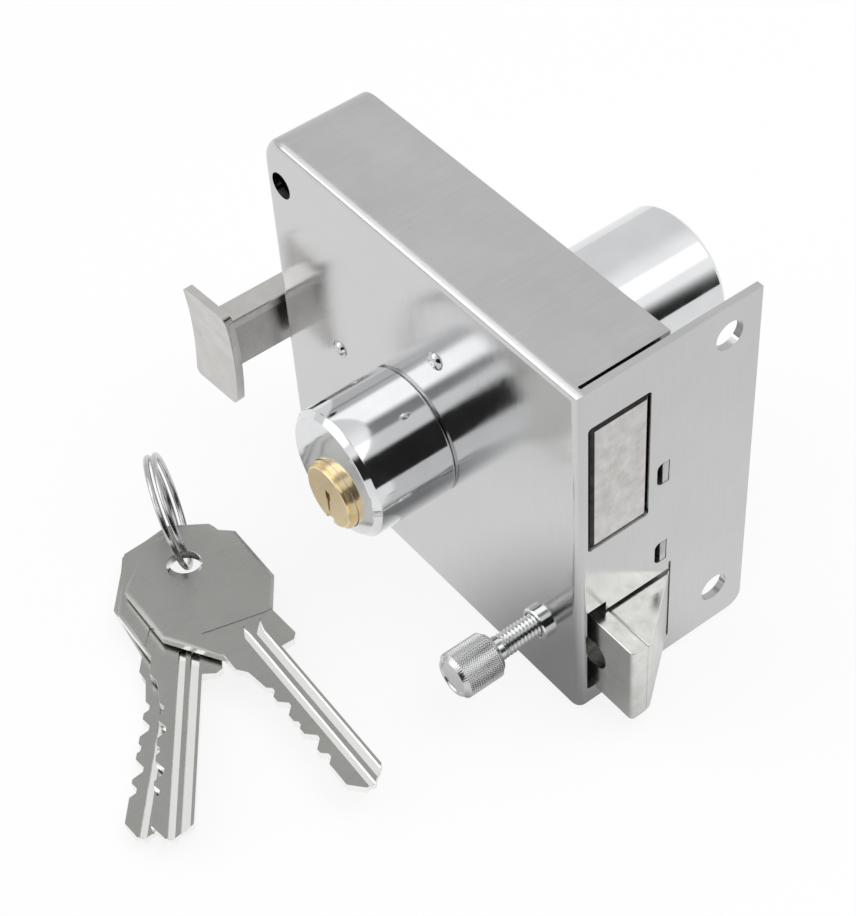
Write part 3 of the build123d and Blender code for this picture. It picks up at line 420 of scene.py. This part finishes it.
def key_finish(node):
    """A key: satin faces, with a painted highlight (a lighter, glossier copy of its metal) on its milled grooves
    and along its edges.
    """
    key = finished(node, small_edge)
    mesh = key.data
    mesh.materials.append(finishes["key_painted_highlight"])
    low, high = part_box(node)
    facing, centres = face_rows(mesh, "normal"), face_rows(mesh, "center")
    flat = np.abs(facing[:, 2]) > key_flat_share
    deep = (centres[:, 2] < high.z - key_groove_depth) & (centres[:, 2] > low.z + key_groove_depth)
    mesh.polygons.foreach_set("material_index", (deep | ~flat).astype(np.int32))


def bolt_finish():
    """The bolt, with painted shade (near-black steel) on the upper and front chamfers of its end, where it sits in
    the gap under the sheet.
    """
    bolt = finished("bolt_head", sheet_edge)
    bolt.data.materials.append(finishes["painted_shade_steel"])
    facing = face_rows(bolt.data, "normal")
    chamfer = np.abs(facing[:, 0] - chamfer_share) < chamfer_reach
    # Chamfers facing up or to the front get the painted shade
    painted_shade = chamfer & ((facing[:, 2] > half_share) | (facing[:, 1] < -half_share))
    bolt.data.polygons.foreach_set("material_index", painted_shade.astype(np.int32))


def closing_spring():
    """The latch spring's coil between its tab on the case and the latch, a smoothed copy that stays in place."""
    shape = joined("latch_spring")
    mesh = bpy.data.meshes.new("latch_spring_coil")
    shape.to_mesh(mesh)
    shape.free()
    mesh.shade_smooth()
    mesh.set_sharp_from_angle(angle=sharp_turn)
    mesh.materials.append(finishes[node_finish["latch_spring"]])
    coil = shown("latch_spring_coil", mesh)
    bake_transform(coil)
    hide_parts("latch_spring")


case_finish()
bolt_finish()
closing_spring()
for node, edge in (
    ("back_plate", sheet_edge),
    ("back_plate_screws", small_edge),
    ("bolt_guide_post", small_edge),
    ("tail_guide_post", small_edge),
    ("inner_cylinder_body", sheet_edge),
    ("outer_cylinder_body", sheet_edge),
    ("latch_slide", sheet_edge),
    ("latch_nose", sheet_edge),
    ("handle_rivets", small_edge),
    ("thumb_bush", small_edge),
):
    finished(node, edge)
for node, edge in (("pull_handle", cast_edge), ("inner_plug", small_edge), ("outer_plug", small_edge)):
    finished(node, edge, cut=True)
for node in ("key_1", "key_2", "key_3"):
    key_finish(node)


def grid_faces(rings, around):
    """Quads between neighbouring rings of a grid whose rings close on themselves."""
    ring, spot = np.meshgrid(np.arange(rings - 1), np.arange(around), indexing="ij")
    after = (spot + 1) % around
    corners = (ring * around + spot, ring * around + after, (ring + 1) * around + after, (ring + 1) * around + spot)
    return np.stack(corners, axis=-1).reshape(-1, 4)


def laid(name, points, faces, finish, node):
    """Puts a closed piece, made of its points and faces, in place of the node."""
    mesh = bpy.data.meshes.new(name)
    mesh.from_pydata(points.reshape(-1, 3).tolist(), [], faces)
    mesh.update()
    shape = bmesh.new()
    shape.from_mesh(mesh)
    bmesh.ops.remove_doubles(shape, verts=shape.verts, dist=weld)
    bmesh.ops.recalc_face_normals(shape, faces=shape.faces)
    shape.to_mesh(mesh)
    shape.free()
    mesh.shade_smooth()
    mesh.set_sharp_from_angle(angle=sharp_turn)
    mesh.materials.append(finishes[finish])
    stand_for(shown(name, mesh), node)


def turned(name, axis, profile, around, finish, node, shaped=None):
    """A body turned about a line along Y.

    Its point is (x + r cos a, y, z + r sin a) for each (y, r) of the profile and each angle a; where it is
    shaped, r comes from a function of r, y and a. Rings of no radius close both ends.
    """
    profile = np.asarray(profile)
    angles = np.linspace(0, 2 * math.pi, around, endpoint=False)
    y, angle = np.meshgrid(profile[:, 0], angles, indexing="ij")
    radius = np.repeat(profile[:, 1:2], around, axis=1)
    if shaped:
        radius = np.where(radius > 0, shaped(radius, y, angle), 0)
    points = np.stack((axis[0] + radius * np.cos(angle), y, axis[1] + radius * np.sin(angle)), axis=-1)
    laid(name, points, grid_faces(len(profile), around).tolist(), finish, node)


def zigzag(turns):
    """0 at every whole turn and 1 half way between, in straight slopes."""
    return 1 - np.abs(2 * (turns - np.floor(turns)) - 1)


def run(start, end, radius, step):
    """Profile rows of one radius from start to end, about a step apart."""
    count = max(2, round(abs(end - start) / step) + 1)
    return [(y, radius) for y in np.linspace(start, end, count)]


def thumb_knob():
    """Knob with crossed knurling between bright chamfers."""
    knob_low, knob_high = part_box("thumb_knob")
    axis = ((knob_low.x + knob_high.x) / 2, (knob_low.z + knob_high.z) / 2)
    radius = (knob_high.x - knob_low.x) / 2
    chamfer = 0.9 * MM
    knurl_depth = 0.17 * MM
    teeth, points_per_tooth = 60, 6
    ring_step = 0.07 * MM
    slant = teeth / (2 * math.pi * radius)
    start, end = knob_low.y + chamfer, knob_high.y - chamfer
    end_dish = 0.25 * MM
    rim = radius - chamfer

    def knurl(radii, y, angle):
        """Two sets of slanting grooves that leave small pyramids between the chamfers."""
        across = teeth * angle / (2 * math.pi)
        along = slant * (y - start)
        raised = np.minimum(zigzag(across + along), zigzag(across - along))
        inside = (y >= start) & (y <= end)
        return np.where(inside, radii - knurl_depth * (1 - raised), radii)

    profile = [
        (knob_low.y + end_dish, 0),
        (knob_low.y + end_dish, rim - 3 * end_dish),
        (knob_low.y, rim - 2 * end_dish),
        (knob_low.y, rim),
        (start - end_dish, radius - end_dish - knurl_depth),
        *run(start, end, radius, ring_step),
        (end + end_dish, radius - end_dish - knurl_depth),
        (knob_high.y, rim),
        (knob_high.y, 0),
    ]
    turned("thumb_knob_knurled", axis, profile, teeth * points_per_tooth, "satin_chrome", "thumb_knob", knurl)


def thumb_thread():
    """Stem of the thumb screw: a plain neck, a cut thread and a plain end that enters the latch.

    In the thread the radius is r - d z(y / p - a / 2 pi), with the depth d, the pitch p and a zigzag z.
    """
    low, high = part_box("thumb_stem")
    axis = ((low.x + high.x) / 2, (low.z + high.z) / 2)
    radius = (high.x - low.x) / 2
    pitch = 0.8 * MM
    depth = 0.42 * MM
    neck = low.y + 1.6 * MM
    dog = high.y - 3.0 * MM
    dog_radius = 1.75 * MM
    ease = 0.3 * MM
    steps_per_pitch, around = 12, 72

    def thread(radii, y, angle):
        """Cuts a single-start thread that runs in over half a pitch at both ends."""
        inside = np.clip(np.minimum(y - neck, dog - ease - y) / (pitch / 2), 0, 1)
        return radii - depth * inside * zigzag(y / pitch - angle / (2 * math.pi))

    profile = [
        (low.y, 0),
        *run(low.y, dog - ease, radius, pitch / steps_per_pitch),
        (dog, radius - ease),
        (dog, dog_radius),
        (high.y - ease, dog_radius),
        (high.y, dog_radius - ease),
        (high.y, 0),
    ]
    turned("thumb_stem_threaded", axis, profile, around, "satin_chrome", "thumb_stem", thread)


def split_ring():
    """Key ring: round wire laid along a flat coil of seven quarter turns that leans on the ground.

    The line is c + R (cos t u + sin t v) + (p t / 2 pi - b) n, and the wire's skin is that line moved by
    r (cos a e + sin a n) with the coil's own outward direction e; at both ends r shrinks to a round nose.
    """
    heading, lean = math.radians(-25.0), math.radians(10.5)
    radius, wire, pitch = 11.4 * MM, 0.6 * MM, 1.6 * MM
    quarters = 7
    low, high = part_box("key_ring")
    across = np.array((math.cos(heading), math.sin(heading), 0))
    normal = np.array((math.sin(heading) * math.cos(lean), -math.cos(heading) * math.cos(lean), -math.sin(lean)))
    upward = np.cross(normal, across)
    steps, around = 420, 20
    turn = np.linspace(0, quarters * math.pi / 2, steps)
    half = pitch * quarters / 8
    out = np.cos(turn)[:, None] * across + np.sin(turn)[:, None] * upward
    line = radius * out + (pitch * turn / (2 * math.pi) - half)[:, None] * normal
    reach = np.minimum(turn, turn[-1] - turn) * radius
    skin = wire * np.sqrt(np.clip(1 - np.square(1 - np.clip(reach / wire, 0, 1)), 0, 1))
    angle = np.linspace(0, 2 * math.pi, around, endpoint=False)
    side = np.cos(angle)[None, :, None] * out[:, None, :] + np.sin(angle)[None, :, None] * normal
    points = line[:, None, :] + skin[:, None, None] * side
    middle = (points.max(axis=(0, 1)) + points.min(axis=(0, 1))) / 2
    points += np.array((low + high) / 2) - middle
    laid("key_ring_wire", points, grid_faces(steps, around).tolist(), "spring_wire", "key_ring")


thumb_knob()
thumb_thread()
split_ring()


def camera():
    """Camera at the photograph's place, found from the lower front corner as it saw it."""
    back = Vector(
        (
            math.sin(view_azimuth) * math.cos(view_elevation),
            -math.cos(view_azimuth) * math.cos(view_elevation),
            math.sin(view_elevation),
        )
    )
    level = Vector((0, 0, 1)).cross(back).normalized()
    rise = back.cross(level)
    right = math.cos(view_roll) * level + math.sin(view_roll) * rise
    up = math.cos(view_roll) * rise - math.sin(view_roll) * level
    turn = Matrix((right, up, back)).transposed()
    corner = Vector((forend_x, front_y, bottom_z))
    data = bpy.data.cameras.new("camera")
    data.sensor_width = sensor_width
    data.lens = focal_pixels * sensor_width / picture_height
    data.clip_start = clip_near
    data.clip_end = clip_far
    seen = bpy.data.objects.new("camera", data)
    seen.matrix_world = Matrix.Translation(corner - turn @ corner_in_view) @ turn.to_4x4()
    bpy.context.scene.collection.objects.link(seen)
    bpy.context.scene.camera = seen


camera()


def surround():
    """Pale room: white to the camera; shiny pieces also see a bright window at the left and dark patches."""
    world = bpy.data.worlds.new("pale_room")
    bpy.context.scene.world = world
    world.use_nodes = True
    tree = world.node_tree
    tree.nodes.clear()

    def math_node(kind, first, second=0.0):
        """Joins two values, each a number or an output, as the kind says."""
        node = tree.nodes.new("ShaderNodeMath")
        node.operation = kind
        for value, socket in zip((first, second), node.inputs):
            if isinstance(value, (int, float)):
                socket.default_value = value
            else:
                tree.links.new(value, socket)
        return node.outputs["Value"]

    def step(value, start, end):
        """0 below start and 1 above end, with a soft step between."""
        node = tree.nodes.new("ShaderNodeMapRange")
        node.interpolation_type = "SMOOTHSTEP"
        node.inputs["From Min"].default_value = start
        node.inputs["From Max"].default_value = end
        tree.links.new(value, node.inputs["Value"])
        return node.outputs["Result"]

    way = tree.nodes.new("ShaderNodeTexCoord").outputs["Generated"]
    split = tree.nodes.new("ShaderNodeSeparateXYZ")
    tree.links.new(way, split.inputs["Vector"])
    height = split.outputs["Z"]

    def toward(direction, start, end):
        """0 away from a direction and 1 toward it, by the cosine between them."""
        along = tree.nodes.new("ShaderNodeVectorMath")
        along.operation = "DOT_PRODUCT"
        tree.links.new(way, along.inputs[0])
        along.inputs[1].default_value = direction
        return step(along.outputs["Value"], start, end)

    def cap(azimuth, elevation, radius, blur):
        """1 in a round patch of the sky, all in degrees."""
        level = math.cos(math.radians(elevation))
        turn = math.radians(azimuth)
        middle = (level * math.cos(turn), level * math.sin(turn), math.sin(math.radians(elevation)))
        return toward(middle, math.cos(math.radians(radius + blur)), math.cos(math.radians(radius - blur)))

    def belt(low, high):
        """1 between two soft edges in height."""
        return math_node("MULTIPLY", step(height, *low), math_node("SUBTRACT", 1.0, step(height, *high)))

    to_right = step(split.outputs["X"], *sky_turns_right)
    sky = math_node("ADD", math_node("MULTIPLY", to_right, 1 - left_sky), left_sky)
    for *patch, strength in bright_patches:
        sky = math_node("ADD", sky, math_node("MULTIPLY", cap(*patch), strength))
    shades = [(cap(*patch), strength) for *patch, strength in dark_patches]
    for direction, fade, low, high, strength in dark_belts:
        shades.append((math_node("MULTIPLY", toward(direction, *fade), belt(low, high)), strength))
    shade = 0.0
    for area, strength in shades:
        shade = math_node("MAXIMUM", shade, math_node("MULTIPLY", area, strength))
    room = math_node("MULTIPLY", sky, math_node("SUBTRACT", 1.0, shade))
    camera_ray = tree.nodes.new("ShaderNodeLightPath").outputs["Is Camera Ray"]
    strength = math_node("MAXIMUM", camera_ray, room)
    background = tree.nodes.new("ShaderNodeBackground")
    background.inputs["Color"].default_value = (1, 1, 1, 1)
    tree.links.new(strength, background.inputs["Strength"])
    output = tree.nodes.new("ShaderNodeOutputWorld")
    tree.links.new(background.outputs["Background"], output.inputs["Surface"])


def ground():
    """Pale floor that shows white and keeps a soft shadow; shiny pieces also see a painted shadow on it before the
    case's corner.
    """
    reach, level = floor_reach, floor_z - floor_drop
    corners = [(-reach, -reach), (reach, -reach), (reach, reach), (-reach, reach)]
    mesh = bpy.data.meshes.new("floor")
    mesh.from_pydata([(x, y, level) for x, y in corners], [], [(0, 1, 2, 3)])
    floor = bpy.data.objects.new("floor", mesh)
    bpy.context.scene.collection.objects.link(floor)
    material = bpy.data.materials.new("floor_paper")
    material.use_nodes = True
    tree = material.node_tree
    surface = tree.nodes["Principled BSDF"]
    surface.inputs["Base Color"].default_value = floor_colour
    surface.inputs["Roughness"].default_value = 0.9
    glow = tree.nodes.new("ShaderNodeEmission")
    path = tree.nodes.new("ShaderNodeLightPath")
    place = tree.nodes.new("ShaderNodeTexCoord").outputs["Object"]

    def node(kind, operation, *values):
        """A maths or vector node with its inputs set or joined."""
        made = tree.nodes.new(kind)
        made.operation = operation
        for value, socket in zip(values, made.inputs):
            if isinstance(value, (float, tuple)):
                socket.default_value = value
            else:
                tree.links.new(value, socket)
        return made

    def rise(value, start, end, low, high):
        """A soft step from low to high."""
        step = tree.nodes.new("ShaderNodeMapRange")
        step.interpolation_type = "SMOOTHSTEP"
        for socket, number in zip(("From Min", "From Max", "To Min", "To Max"), (start, end, low, high)):
            step.inputs[socket].default_value = number
        tree.links.new(value, step.inputs["Value"])
        return step.outputs["Result"]

    # Painted shadow that only shiny pieces see: the floor's glow is darker round this spot
    foot = (forend_x + painted_shadow_from_corner[0], front_y + painted_shadow_from_corner[1], level)
    away = node("ShaderNodeVectorMath", "DISTANCE", place, foot).outputs["Value"]
    across = tree.nodes.new("ShaderNodeSeparateXYZ")
    tree.links.new(place, across.inputs["Vector"])
    right_start, right_end = (forend_x + distance for distance in right_from_corner)
    to_right = rise(across.outputs["X"], right_start, right_end, *right_tones)
    tone = node("ShaderNodeMath", "MULTIPLY", rise(away, *painted_shadow_radius, *painted_shadow_tones), to_right).outputs["Value"]
    strength = node("ShaderNodeMath", "MAXIMUM", path.outputs["Is Camera Ray"], tone).outputs["Value"]
    tree.links.new(strength, glow.inputs["Strength"])
    seen = node("ShaderNodeMath", "MULTIPLY", path.outputs["Is Camera Ray"], glow_to_camera).outputs["Value"]
    shiny = node("ShaderNodeMath", "MULTIPLY", path.outputs["Is Glossy Ray"], glow_to_shine).outputs["Value"]
    both = node("ShaderNodeMath", "MAXIMUM", seen, shiny).outputs["Value"]
    mix = tree.nodes.new("ShaderNodeMixShader")
    tree.links.new(both, mix.inputs["Fac"])
    tree.links.new(surface.outputs["BSDF"], mix.inputs[1])
    tree.links.new(glow.outputs["Emission"], mix.inputs[2])
    tree.links.new(mix.outputs["Shader"], tree.nodes["Material Output"].inputs["Surface"])
    mesh.materials.append(material)


def lamp(name, place, size, power):
    """A square soft lamp that looks at the lock's middle."""
    data = bpy.data.lights.new(name, "AREA")
    data.size = size
    data.energy = power
    light = bpy.data.objects.new(name, data)
    light.visible_glossy = False
    light.location = place
    light.rotation_mode = "QUATERNION"
    light.rotation_quaternion = (-Vector(place)).to_track_quat("-Z", "Y")
    bpy.context.scene.collection.objects.link(light)


surround()
ground()
lamp("soft_top", lamp_place, lamp_size, lamp_power)
bpy.context.scene.view_settings.view_transform = "Standard"
